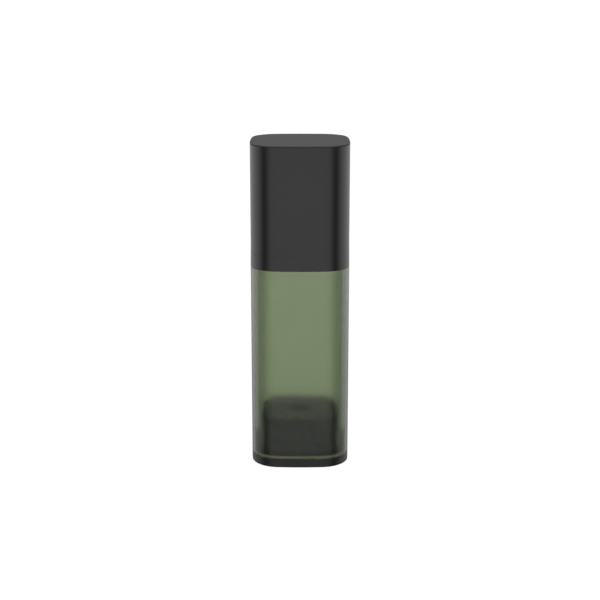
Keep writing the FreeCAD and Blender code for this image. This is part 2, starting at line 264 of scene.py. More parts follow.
@dataclass(frozen=True)
class MouldedPlastic:
    """Opaque moulded plastic with flow clouds, a soft sheen and a faint skin texture."""

    slot: Slot
    dark: Colour
    light: Colour
    roughness: float
    roughness_swing: float = 0.04
    cloud_size: float = 9 * MM
    grain_size: float = 0.25 * MM
    grain_height: float = 0.004 * MM
    ior: float = 1.5

    def material(self) -> bpy.types.Material:
        """Make the material.

        Returns:
            The material.
        """
        material, graph = new_material("finish_" + self.slot.value)
        clouds = graph.noise(self.cloud_size, CLOUD_DETAIL)
        grain = graph.noise(self.grain_size, SOFT_DETAIL)
        surface = graph.node("ShaderNodeBsdfPrincipled", sockets={
            "Base Color": graph.blend(opaque(self.dark), opaque(self.light), clouds),
            "Roughness": self.roughness + (clouds + grain - 2 * NOISE_MEAN) * self.roughness_swing,
            "IOR": self.ior,
            "Normal": graph.bump(grain, self.grain_height),
        })
        graph.node("ShaderNodeOutputMaterial", sockets={"Surface": surface})
        return material


@dataclass(frozen=True)
class ClearPlastic:
    """See-through moulded wall with a slight tint that drifts along it."""

    slot: Slot
    tint: Colour
    deep_tint: Colour
    roughness: float
    roughness_swing: float
    ior: float
    layer: str = ""
    smoke: Colour = (0.5, 0.5, 0.5)
    smoke_density: float = 0.0
    drift_size: float = 14 * MM
    grain_size: float = 0.3 * MM
    grain_height: float = 0.001 * MM

    def surface(self, graph: ShaderGraph) -> Signal:
        """The wall's surface shader.

        Args:
            graph: The material's nodes.

        Returns:
            The shader.
        """
        drift = graph.noise(self.drift_size, SOFT_DETAIL)
        grain = graph.noise(self.grain_size, SOFT_DETAIL)
        return graph.node("ShaderNodeBsdfPrincipled", sockets={
            "Base Color": graph.blend(opaque(self.tint), opaque(self.deep_tint), drift),
            "Roughness": self.roughness + (drift + grain - 2 * NOISE_MEAN) * self.roughness_swing,
            "IOR": self.ior,
            "Transmission Weight": 1.0,
            "Normal": graph.bump(grain, self.grain_height),
        })

    def material(self) -> bpy.types.Material:
        """Make the material.

        Returns:
            The material.
        """
        material, graph = new_material("finish_" + self.slot.value + self.layer)
        sockets = {"Surface": self.surface(graph)}
        if self.smoke_density:
            sockets["Volume"] = graph.node("ShaderNodeVolumeAbsorption", sockets={
                "Color": opaque(self.smoke), "Density": self.smoke_density,
            })
        graph.node("ShaderNodeOutputMaterial", sockets=sockets)
        return material


@dataclass(frozen=True)
class FrostedPlastic(ClearPlastic):
    """See-through wall, frosted and lacquered on its outside, with a painted highlight line along its foot.
    """

    frost: float = 0.04
    frost_tint: Colour = (0.42, 0.52, 0.3)
    # Colour of the painted highlight line along the foot, lighter than the frost.
    foot_highlight_tint: Colour = (0.64, 0.79, 0.42)
    foot_level: float = 3.8 * MM
    foot_fade: float = 0.2 * MM
    lining_tint: Colour = (0.97, 0.98, 0.96)
    lining_roughness: float = 0.65

    def surface(self, graph: ShaderGraph) -> Signal:
        """The frosted surface, with a painted highlight line at the foot: a lighter diffuse green band in
        place of light piped down the wall.

        Args:
            graph: The material's nodes.

        Returns:
            The shader.
        """
        height = graph.axis(graph.place(), "Z")
        # Height mask of the painted highlight line along the foot.
        foot = graph.node("ShaderNodeMapRange", {"interpolation_type": "SMOOTHSTEP"}, {
            "Value": height,
            "From Min": self.foot_level + self.foot_fade,
            "From Max": self.foot_level - self.foot_fade,
        })
        # Painted highlight: a lighter, wholly diffuse green that stands in for light the wall pipes down to
        # its foot.
        painted_foot_highlight = graph.node("ShaderNodeBsdfPrincipled", sockets={
            "Base Color": graph.blend(opaque(self.frost_tint), opaque(self.foot_highlight_tint), foot),
            "Roughness": self.roughness,
            "IOR": self.ior,
        })
        share = self.frost + (1 - self.frost) * foot
        return graph.node("ShaderNodeMixShader", sockets={0: share, 1: super().surface(graph), 2: painted_foot_highlight})

    def lining(self) -> ClearPlastic:
        """The bare plastic of the wall's inside."""
        return ClearPlastic(self.slot, self.lining_tint, self.lining_tint, roughness=self.lining_roughness,
                            roughness_swing=self.roughness_swing, ior=self.ior, layer="_lining")


@dataclass(frozen=True)
class DrawnSteel:
    """Bright steel with fine drawing marks."""

    slot: Slot
    dark: Colour
    light: Colour
    roughness: float
    roughness_swing: float = 0.08
    mark_size: float = 0.4 * MM
    mark_stretch: Stretch = (1.0, 1.0, 6.0)
    mark_height: float = 0.002 * MM

    def material(self) -> bpy.types.Material:
        """Make the material.

        Returns:
            The material.
        """
        material, graph = new_material("finish_" + self.slot.value)
        marks = graph.noise(self.mark_size, MARK_DETAIL, self.mark_stretch)
        surface = graph.node("ShaderNodeBsdfPrincipled", sockets={
            "Base Color": graph.blend(opaque(self.dark), opaque(self.light), marks),
            "Metallic": 1.0,
            "Roughness": self.roughness + (marks - NOISE_MEAN) * self.roughness_swing,
            "Normal": graph.bump(marks, self.mark_height),
        })
        graph.node("ShaderNodeOutputMaterial", sockets={"Surface": surface})
        return material


FINISHES = (
    MouldedPlastic(Slot.BLACK_GLOSS, (0.0115, 0.0115, 0.0117), (0.0135, 0.0135, 0.0137), roughness=0.22),
    MouldedPlastic(Slot.BLACK_SATIN, (0.013, 0.013, 0.013), (0.017, 0.017, 0.0172), roughness=0.38),
    ClearPlastic(Slot.CLEAR_JACKET, (0.97, 0.975, 0.97), (0.95, 0.955, 0.95), roughness=0.03,
                 roughness_swing=0.02, ior=1.5, smoke_density=1590.0),
    FrostedPlastic(Slot.GREEN_FROST, (0.765, 0.97, 0.53), (0.755, 0.96, 0.52), roughness=0.3,
                   roughness_swing=0.04, ior=1.1),
    MouldedPlastic(Slot.DARK_FOLLOWER, (0.016, 0.016, 0.016), (0.02, 0.02, 0.0198), roughness=0.38),
    MouldedPlastic(Slot.NATURAL_PLASTIC, (0.72, 0.72, 0.69), (0.8, 0.8, 0.77), roughness=0.4),
    MouldedPlastic(Slot.SOFT_SEAL, (0.6, 0.6, 0.58), (0.68, 0.68, 0.66), roughness=0.62),
    DrawnSteel(Slot.BRIGHT_STEEL, (0.6, 0.6, 0.61), (0.74, 0.74, 0.75), roughness=0.2),
)


def edges_of(verts: Iterable[BMVert]) -> list[BMEdge]:
    """The edges that meet at some points, each of them once."""
    return list(dict.fromkeys(edge for vert in verts for edge in vert.link_edges))


def ring_of(bm: BMesh, radius: float, level: float, count: int) -> list[BMEdge]:
    """Draw a level circle of a number of edges about the bottle's axis."""
    made = bmesh.ops.create_circle(bm, radius=radius, segments=count, matrix=Matrix.Translation(UP * level))
    return edges_of(made["verts"])


def bridge(bm: BMesh, rings: Sequence[list[BMEdge]], closed: bool = False) -> None:
    """Join neighbouring rings by walls.

    Rings on one level are held apart while they are joined, because bridge_loops pairs their points by
    the way from one ring's centre to the other's.

    Args:
        bm: The mesh that holds the rings.
        rings: The rings in order.
        closed: Whether the last ring joins the first.
    """
    following = list(rings[1:]) + ([rings[0]] if closed else [])
    for first, second in zip(rings, following):
        verts = list({vert for edge in second for vert in edge.verts})
        rise = verts[0].co.z - first[0].verts[0].co.z
        lift = UP * (BRIDGE_LIFT if abs(rise) < MERGE_DISTANCE else 0.0)
        bmesh.ops.translate(bm, verts=verts, vec=lift)
        bmesh.ops.bridge_loops(bm, edges=first + second)
        bmesh.ops.translate(bm, verts=verts, vec=-lift)


def fill(bm: BMesh, ring: list[BMEdge]) -> None:
    """Close a ring with one flat face."""
    bmesh.ops.contextual_create(bm, geom=ring)


def soften(bm: BMesh, edges: Iterable[BMEdge], width: float, segments: int) -> None:
    """Round edges over with a bevel, leaving out those that an earlier bevel used up."""
    left = [edge for edge in edges if edge.is_valid]
    bmesh.ops.bevel(bm, geom=left, offset=width, offset_type="OFFSET", segments=segments,
                    profile=0.5, affect="EDGES", material=-1, clamp_overlap=True)


def close_seams(bm: BMesh) -> None:
    """Merge doubled points and point every face outwards."""
    bmesh.ops.remove_doubles(bm, verts=bm.verts, dist=MERGE_DISTANCE)
    bmesh.ops.recalc_face_normals(bm, faces=bm.faces)


def turn_profile(profile: Profile, closed: bool = True, steps: int = ROUND_STEPS) -> BMesh:
    """Turn a profile about the bottle's axis.

    Args:
        profile: The outline's (radius, level) points.
        closed: Whether the last point joins the first, or both ends lie on the axis.
        steps: Number of steps in the full turn.

    Returns:
        The closed solid.
    """
    bm = bmesh.new()
    verts = [bm.verts.new((radius, 0, level)) for radius, level in profile]
    pairs = list(zip(verts, verts[1:] + verts[:1]))
    edges = [bm.edges.new(pair) for pair in (pairs if closed else pairs[:-1])]
    bmesh.ops.spin(bm, geom=verts + edges, cent=(0, 0, 0), axis=UP, angle=2 * math.pi, steps=steps,
                   use_merge=True)
    close_seams(bm)
    return bm


def arc_points(centre: tuple[float, float], radius: float, start: float, end: float,
               steps: int) -> list[tuple[float, float]]:
    """Points of an arc in a profile, from angle start to end in degrees."""
    angles = (math.radians(start + (end - start) * i / steps) for i in range(steps + 1))
    return [(centre[0] + radius * math.cos(a), centre[1] + radius * math.sin(a)) for a in angles]


def corner_points(radius: float, level: float, rounding: float, steps: int) -> list[tuple[float, float]]:
    """Points that round off the outer upper corner of a profile."""
    return arc_points((radius - rounding, level - rounding), rounding, 0, 90, steps)


def block(low: Sequence[float], high: Sequence[float], rounding: float = 0.0) -> BMesh:
    """A block between two corners, with its edges rounded if asked.

    Args:
        low: One corner.
        high: The opposite corner.
        rounding: Width of the rounding, or 0 for sharp edges.

    Returns:
        The block.
    """
    bm = bmesh.new()
    size = Vector(high) - Vector(low)
    place = Matrix.Translation((Vector(low) + Vector(high)) / 2) @ Matrix.Diagonal((*size, 1))
    bmesh.ops.create_cube(bm, size=1, matrix=place)
    if rounding:
        soften(bm, bm.edges, rounding, EDGE_SEGMENTS)
    return bm


def add_copies(bm: BMesh, count: int) -> None:
    """Repeat all of a mesh evenly round the bottle's axis."""
    step = 2 * math.pi / count
    bmesh.ops.spin(bm, geom=list(bm.verts) + list(bm.edges) + list(bm.faces), cent=(0, 0, 0), axis=UP,
                   angle=step * (count - 1), steps=count - 1, use_duplicate=True)


def placed_object(bm: BMesh, name: str) -> bpy.types.Object:
    """Put a mesh in the scene as an object.

    Args:
        bm: The mesh. It is used up.
        name: The object's name.

    Returns:
        The object.
    """
    mesh = bpy.data.meshes.new(name)
    bm.to_mesh(mesh)
    bm.free()
    made = bpy.data.objects.new(name, mesh)
    bpy.context.scene.collection.objects.link(made)
    return made


def merged(base: BMesh, tool: BMesh, how: Merge) -> BMesh:
    """Join a second solid to a first one, or take it away.

    Args:
        base: The solid that is changed. It is used up.
        tool: The second solid. It is used up.
        how: Whether the second one is joined or taken away.

    Returns:
        The new solid.
    """
    shapes = [placed_object(base, "merge_base"), placed_object(tool, "merge_tool")]
    modifier = shapes[0].modifiers.new("merge", "BOOLEAN")
    modifier.operation = how.value
    modifier.solver = "EXACT"
    modifier.use_self = True
    modifier.object = shapes[1]
    depsgraph = bpy.context.evaluated_depsgraph_get()
    result = bpy.data.meshes.new_from_object(shapes[0].evaluated_get(depsgraph))
    bm = bmesh.new()
    bm.from_mesh(result)
    old = [shape.data for shape in shapes]
    for shape in shapes:
        bpy.data.objects.remove(shape)
    for mesh in old + [result]:
        bpy.data.meshes.remove(mesh)
    close_seams(bm)
    return bm


@dataclass(frozen=True)
class PlanOutline:
    """Square outline with crowned sides and round corners, seen from above."""

    half_width: float = 16.5 * MM
    side_radius: float = 110.0 * MM
    corner_radius: float = 9.2 * MM
    side_steps: int = 8
    corner_steps: int = 22

    @property
    def count(self) -> int:
        """Number of edges in the outline."""
        return SIDES * (self.side_steps + self.corner_steps)

    def ring(self, bm: BMesh, inset: float, level: float) -> list[BMEdge]:
        """Draw the outline as a closed ring of edges.

        Args:
            bm: The mesh that gets the ring.
            inset: How far the ring lies inside the bottle's outer surface.
            level: Its height.

        Returns:
            The ring's edges.
        """
        side = self.half_width - self.side_radius
        reach = self.side_radius - self.corner_radius
        corner = (side + math.sqrt(2 * reach ** 2 - side ** 2)) / 2
        half = math.atan2(corner, corner - side)
        arcs = (
            (Vector((side, 0, level)), 2 * half, self.side_steps),
            (Vector((corner, corner, level)), math.pi / 2 - 2 * half, self.corner_steps),
        )
        before = set(bm.edges)
        radius = self.side_radius - inset
        start = bm.verts.new((side + radius * math.cos(half), -radius * math.sin(half), level))
        last = start
        for quarter in range(SIDES):
            turn = Matrix.Rotation(quarter * 2 * math.pi / SIDES, 3, "Z")
            for centre, angle, steps in arcs:
                spun = bmesh.ops.spin(bm, geom=[last], cent=turn @ centre, axis=UP, angle=angle,
                                      steps=steps)
                last = next(item for item in spun["geom_last"] if isinstance(item, BMVert))
        bmesh.ops.weld_verts(bm, targetmap={last: start})
        return [edge for edge in bm.edges if edge not in before]

    def rings(self, bm: BMesh, stations: Profile) -> list[list[BMEdge]]:
        """Draw the outline at several (inset, level) stations."""
        return [self.ring(bm, inset, level) for inset, level in stations]


class Workshop:
    """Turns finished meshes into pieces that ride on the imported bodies."""

    def __init__(self) -> None:
        """Make every finish once."""
        self.materials = {finish.slot: finish.material() for finish in FINISHES}
        self.linings = {finish.slot: finish.lining().material() for finish in FINISHES
                        if isinstance(finish, FrostedPlastic)}

    def publish(self, bm: BMesh, name: str, body: Body, slot: Slot, *nodes: str) -> bpy.types.Object:
        """Make a piece of a finished mesh.

        Args:
            bm: The mesh. It is used up.
            name: The piece's name.
            body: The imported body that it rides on.
            slot: The record's slot that its finish comes from.
            nodes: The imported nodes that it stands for.

        Returns:
            The piece.
        """
        close_seams(bm)
        faces = len(bm.faces)
        if slot in self.linings:
            self.add_lining(bm)
        piece = placed_object(bm, name)
        mesh = piece.data
        mesh.shade_smooth()
        mesh.set_sharp_from_angle(angle=CRISP_ANGLE)
        mesh.materials.append(self.materials[slot])
        if slot in self.linings:
            mesh.materials.append(self.linings[slot])
        weighted = piece.modifiers.new("even_shading", "WEIGHTED_NORMAL")
        weighted.keep_sharp = True
        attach(piece, body.value)
        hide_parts(*nodes)
        LOG.info("%s: %d faces on %s", name, faces, body.value)
        return piece

    def add_lining(self, bm: BMesh) -> None:
        """Give the faces that look at the bottle's axis the second material.

        Args:
            bm: The piece's mesh.
        """
        for face in bm.faces:
            facing = face.normal.xy.dot(face.calc_center_median().xy)
            face.material_index = 1 if facing < -MERGE_DISTANCE else 0

    def dress(self, slot: Slot, *nodes: str) -> None:
        """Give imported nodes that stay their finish.

        Args:
            slot: The record's slot that the finish comes from.
            nodes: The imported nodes.
        """
        for node in nodes:
            mesh = frame["nodes"][node].data
            mesh.materials.clear()
            mesh.materials.append(self.materials[slot])
            LOG.info("%s: finish %s", node, slot.value)


def levels(node: str) -> tuple[float, float]:
    """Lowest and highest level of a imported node."""
    low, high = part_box(node)
    return low.z, high.z


@dataclass
class SubAssembly:
    """A group of pieces that are modelled and dressed together."""

    shop: Workshop
    plan: PlanOutline

    def build(self) -> None:
        """Model and dress the pieces."""
        raise NotImplementedError


@dataclass
class Cap(SubAssembly):
    """Lift-off cap: a hollow shell with a softened crown and grip ribs inside."""

    inset: float = 0.09 * MM
    wall: float = 1.6 * MM
    crown: float = 2.0 * MM
    crown_round: float = 0.5 * MM
    rim_drop: float = 0.04 * MM
    rim_round: float = 0.015 * MM
    rib_round: float = 0.05 * MM
    rib_offset: float = 1.6 * MM
    rib_width: float = 0.8 * MM
    rib_low: float = 1.0 * MM
    rib_length: float = 14.0 * MM
    rib_clearance: float = 0.08 * MM

    def build(self) -> None:
        """Model and dress the cap."""
        low, high = levels("cap")
        bm = bmesh.new()
        inner = self.inset + self.wall
        rim_level = low - self.rim_drop
        rings = self.plan.rings(bm, (
            (inner, high - self.crown),
            (inner, rim_level),
            (self.inset, rim_level),
            (self.inset, high),
        ))
        bridge(bm, rings)
        fill(bm, rings[0])
        fill(bm, rings[-1])
        rim, crown = rings[2:]
        soften(bm, crown, self.crown_round, CROWN_SEGMENTS)
        soften(bm, rim, self.rim_round, EDGE_SEGMENTS)
        close_seams(bm)
        bm = merged(bm, self.grip_ribs(low), Merge.JOIN)
        self.shop.publish(bm, "cap_shell", Body.CAP, Slot.BLACK_GLOSS, "cap")

    def grip_ribs(self, low: float) -> BMesh:
        """Pairs of upright ribs on each inner wall that grip the closure.

        Args:
            low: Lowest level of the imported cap.

        Returns:
            The ribs as one mesh.
        """
        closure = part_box("closure_sleeve")[1].x
        outer = self.plan.half_width - self.inset - self.wall / 2
        bm = bmesh.new()
        for offset in (-self.rib_offset, self.rib_offset):
            rib = block(
                (closure + self.rib_clearance, offset - self.rib_width / 2, low + self.rib_low),
                (outer, offset + self.rib_width / 2, low + self.rib_low + self.rib_length),
                rounding=self.rib_round,
            )
            mesh = bpy.data.meshes.new("rib")
            rib.to_mesh(mesh)
            rib.free()
            bm.from_mesh(mesh)
            bpy.data.meshes.remove(mesh)
        add_copies(bm, SIDES)
        return bm


@dataclass
class Bottle(SubAssembly):
    """Clear jacket, frosted product bottle, collar with its neck, and base."""

    jacket_wall: float = 0.8 * MM
    inner_inset: float = 0.9 * MM
    inner_wall: float = 2.5 * MM
    seat_gap: float = 0.03 * MM
    edge_round: float = 0.1 * MM
    base_plate: float = 2.85 * MM
    foot_round: float = 0.1 * MM
    foot_rim: float = 3.0 * MM
    foot_recess: float = 1.2 * MM
    plug_fit: float = 0.05 * MM
    plug_wall: float = 1.4 * MM
    vent_radius: float = 0.8 * MM
    roof: float = 1.75 * MM
    roof_fit: float = 0.04 * MM
    skirt_fit: float = 0.05 * MM
    skirt_wall: float = 1.2 * MM
    collar_inset: float = 0.06 * MM
    collar_round: float = 0.015 * MM
    neck_radius: float = 9.6 * MM
    neck_bore: float = 8.1 * MM
    bead_radius: float = 10.1 * MM
    bead_drop: float = 1.0 * MM
    bead_height: float = 1.2 * MM

    def build(self) -> None:
        """Model and dress the four pieces, and dress the seal under the collar."""
        self.build_jacket()
        self.build_inner()
        self.build_base()
        self.build_shoulder()
        self.shop.dress(Slot.SOFT_SEAL, "rim_seal")

    def tube(self, outer: float, inner: float, low: float, high: float) -> BMesh:
        """Open-ended wall between two insets, with softened rims.

        Args:
            outer: Inset of its outer face.
            inner: Inset of its inner face.
            low: Level of its lower rim.
            high: Level of its upper rim.

        Returns:
            The wall.
        """
        bm = bmesh.new()
        rings = self.plan.rings(bm, ((outer, low), (outer, high), (inner, high), (inner, low)))
        bridge(bm, rings, closed=True)
        soften(bm, [edge for ring in rings for edge in ring], self.edge_round, EDGE_SEGMENTS)
        return bm

    def seat(self) -> float:
        """Level at which the jacket and the product bottle stand on the base."""
        return levels("base_plug")[0] + self.base_plate + self.seat_gap

    def build_jacket(self) -> None:
        """Clear outer jacket."""
        high = levels("outer_jacket")[1]
        bm = self.tube(0.0, self.jacket_wall, self.seat(), high - self.seat_gap)
        self.shop.publish(bm, "clear_jacket", Body.BOTTLE, Slot.CLEAR_JACKET, "outer_jacket")

    def build_inner(self) -> None:
        """Frosted product bottle."""
        high = levels("inner_bottle")[1]
        inner = self.inner_inset + self.inner_wall
        bm = self.tube(self.inner_inset, inner, self.seat(), high)
        self.shop.publish(bm, "frosted_bottle", Body.BOTTLE, Slot.GREEN_FROST, "inner_bottle")

    def build_base(self) -> None:
        """Base plate with its vent, foot rim and plug."""
        low, high = levels("base_plug")
        plate = low + self.base_plate
        outer = self.inner_inset + self.inner_wall + self.plug_fit
        inner = outer + self.plug_wall
        bm = bmesh.new()
        stations = ((0.0, low), (0.0, plate), (outer, plate), (outer, high), (inner, high), (inner, plate))
        rings = self.plan.rings(bm, stations)
        rings.append(ring_of(bm, self.vent_radius, plate, self.plan.count))
        rings.append(ring_of(bm, self.vent_radius, low + self.foot_recess, self.plan.count))
        rings += self.plan.rings(bm, ((self.foot_rim, low + self.foot_recess), (self.foot_rim, low)))
        bridge(bm, rings, closed=True)
        soften(bm, rings[0], self.foot_round, LIP_SEGMENTS)
        soften(bm, rings[1], self.edge_round, EDGE_SEGMENTS)
        self.shop.publish(bm, "base", Body.BOTTLE, Slot.BLACK_GLOSS, "base_plug")

    def build_shoulder(self) -> None:
        """Collar, plug skirt and neck in one moulding."""
        low, high = levels("shoulder")
        top = levels("closure_sleeve")[0]
        collar_low = levels("outer_jacket")[1]
        roof = top - self.roof
        bead_high = high - self.bead_drop
        bead_low = bead_high - self.bead_height
        bead_rise = self.bead_radius - self.neck_radius
        outer = self.inner_inset + self.inner_wall + self.skirt_fit
        inner = outer + self.skirt_wall
        wall = self.inner_inset - self.roof_fit
        bm = bmesh.new()
        rings = self.plan.rings(bm, (
            (self.collar_inset, top), (0.0, collar_low), (wall, collar_low), (wall, roof),
            (outer, roof), (outer, low), (inner, low), (inner, roof),
        ))
        neck = (
            (self.neck_bore, roof), (self.neck_bore, high), (self.neck_radius, high),
            (self.neck_radius, bead_high), (self.bead_radius, bead_high - bead_rise),
            (self.bead_radius, bead_low), (self.neck_radius, bead_low), (self.neck_radius, top),
        )
        rings += [ring_of(bm, radius, level, self.plan.count) for radius, level in neck]
        bridge(bm, rings, closed=True)
        soften(bm, rings[0], self.collar_round, EDGE_SEGMENTS)
        soften(bm, rings[1], self.collar_round, EDGE_SEGMENTS)
        self.shop.publish(bm, "collar", Body.BOTTLE, Slot.BLACK_GLOSS, "shoulder")


@dataclass
class Follower(SubAssembly):
    """Piston with two wiper lips, a grooved crown and a dimple with a coned floor for the pump's inlet."""

    inset: float = 3.45 * MM
    lip_rise: float = 0.1 * MM
    lip_height: float = 1.25 * MM
    lip_thickness: float = 0.6 * MM
    lip_round: float = 0.1 * MM
    line_drop: float = 0.2 * MM
    line_height: float = 0.25 * MM
    line_depth: float = 0.4 * MM
    groove_width: float = 0.35 * MM
    groove_depth: float = 0.9 * MM
    wall: float = 1.4 * MM
    crown: float = 1.6 * MM
    dimple_radius: float = 3.2 * MM
    dimple_wall: float = 1.7 * MM
    dimple_depth: float = 2.3 * MM
    dimple_core: float = 0.3 * MM
    hub_floor: float = 1.2 * MM
    rib_width: float = 0.9 * MM
    rib_depth: float = 4.5 * MM
    rib_sink: float = 0.4 * MM

    def build(self) -> None:
        """Model and dress the piston."""
        low, high = levels("follower_piston")
        crown_low = high - self.crown
        bm = bmesh.new()
        dimple = [ring_of(bm, radius, level, self.plan.count) for radius, level in (
            (self.dimple_core, high - self.dimple_depth),
            (self.dimple_radius, high - self.dimple_wall),
            (self.dimple_radius, high),
        )]
        stations = self.outside(low, high)
        outside = self.plan.rings(bm, stations)
        hub = [ring_of(bm, self.dimple_radius + self.wall, level, self.plan.count)
               for level in (crown_low, high - self.dimple_depth - self.hub_floor)]
        bridge(bm, dimple + outside + hub)
        fill(bm, dimple[0])
        fill(bm, hub[-1])
        lips = ((self.inset, high), (self.inset, low + self.lip_height), (self.inset, low))
        soft = [ring for ring, station in zip(outside, stations) if station in lips] + dimple[-1:]
        soften(bm, [edge for ring in soft for edge in ring], self.lip_round, LIP_SEGMENTS)
        close_seams(bm)
        for rib in self.cross_ribs(crown_low):
            bm = merged(bm, rib, Merge.JOIN)
        self.shop.publish(bm, "follower", Body.FOLLOWER, Slot.DARK_FOLLOWER, "follower_piston")

    def outside(self, low: float, high: float) -> Profile:
        """Stations of the groove in the crown, the two lips and the inside of the skirt.

        Args:
            low: Level of the lower lip's edge.
            high: Level of the crown.

        Returns:
            The (inset, level) stations in order.
        """
        body = self.inset + self.lip_rise
        groove = self.inset + self.lip_thickness
        groove_end = groove + self.groove_width
        groove_low = high - self.groove_depth
        line = high - self.line_drop
        line_low = line - self.line_height
        lip_low = high - self.lip_height
        return (
            (groove_end, high), (groove_end, groove_low), (groove, groove_low), (groove, high),
            (self.inset, high), (self.inset, line), (self.inset + self.line_depth, line),
            (self.inset + self.line_depth, line_low), (self.inset, line_low),
            (self.inset, lip_low), (body + self.line_depth, lip_low),
            (body + self.line_depth, lip_low - self.line_height), (body, lip_low - self.line_height),
            (body, low + self.lip_height), (self.inset, low + self.lip_height), (self.inset, low),
            (body + self.wall, low), (body + self.wall, high - self.crown),
        )

    def cross_ribs(self, level: float) -> list[BMesh]:
        """Two crossed ribs that stiffen the crown from below.

        Args:
            level: Level of the crown's underside.

        Returns:
            The two ribs.
        """
        body = self.inset + self.lip_rise
        reach = self.plan.half_width - body - self.wall / 2
        half = self.rib_width / 2
        low, high = level - self.rib_depth, level + self.rib_sink
        return [block((-x, -y, low), (x, y, high)) for x, y in ((reach, half), (half, reach))]


@dataclass
class Closure(SubAssembly):
    """Ribbed sleeve round the neck, with a keyed guide for the button."""

    rib_count: int = 68
    rib_depth: float = 0.35 * MM
    rib_width: float = 0.62 * MM
    rib_sink: float = 0.1 * MM
    rib_round: float = 0.14 * MM
    plain_band: float = 1.2 * MM
    wall: float = 0.95 * MM
    plate: float = 1.5 * MM
    top_round: float = 0.5 * MM
    guide_radius: float = 6.75 * MM
    guide_wall: float = 1.0 * MM
    guide_depth: float = 2.0 * MM
    slot_reach: float = 7.3 * MM
    slot_half: float = 0.95 * MM

    def build(self) -> None:
        """Model and dress the sleeve."""
        low, high = levels("closure_sleeve")
        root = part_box("closure_sleeve")[1].x - self.rib_depth
        plate = high - self.plate
        guide_low = plate - self.guide_depth
        bore = root - self.wall
        crown = corner_points(root, high, self.top_round, CROWN_SEGMENTS)
        bm = turn_profile([
            (bore, low), (root, low), *crown, (self.guide_radius, high), (self.guide_radius, guide_low),
            (self.guide_radius + self.guide_wall, guide_low), (self.guide_radius + self.guide_wall, plate),
            (bore, plate),
        ])
        rib = block((root - self.rib_sink, -self.rib_width / 2, low),
                    (root + self.rib_depth, self.rib_width / 2, high - self.plain_band))
        outer = [edge for edge in rib.edges if all(vert.co.x > root for vert in edge.verts)]
        soften(rib, outer, self.rib_round, EDGE_SEGMENTS)
        add_copies(rib, self.rib_count)
        bm = merged(bm, rib, Merge.JOIN)
        slot = block((-self.slot_reach, -self.slot_half, guide_low - self.guide_wall),
                     (self.slot_reach, self.slot_half, high + self.guide_wall))
        bm = merged(bm, slot, Merge.REMOVE)
        self.shop.publish(bm, "closure", Body.BOTTLE, Slot.BLACK_SATIN, "closure_sleeve")


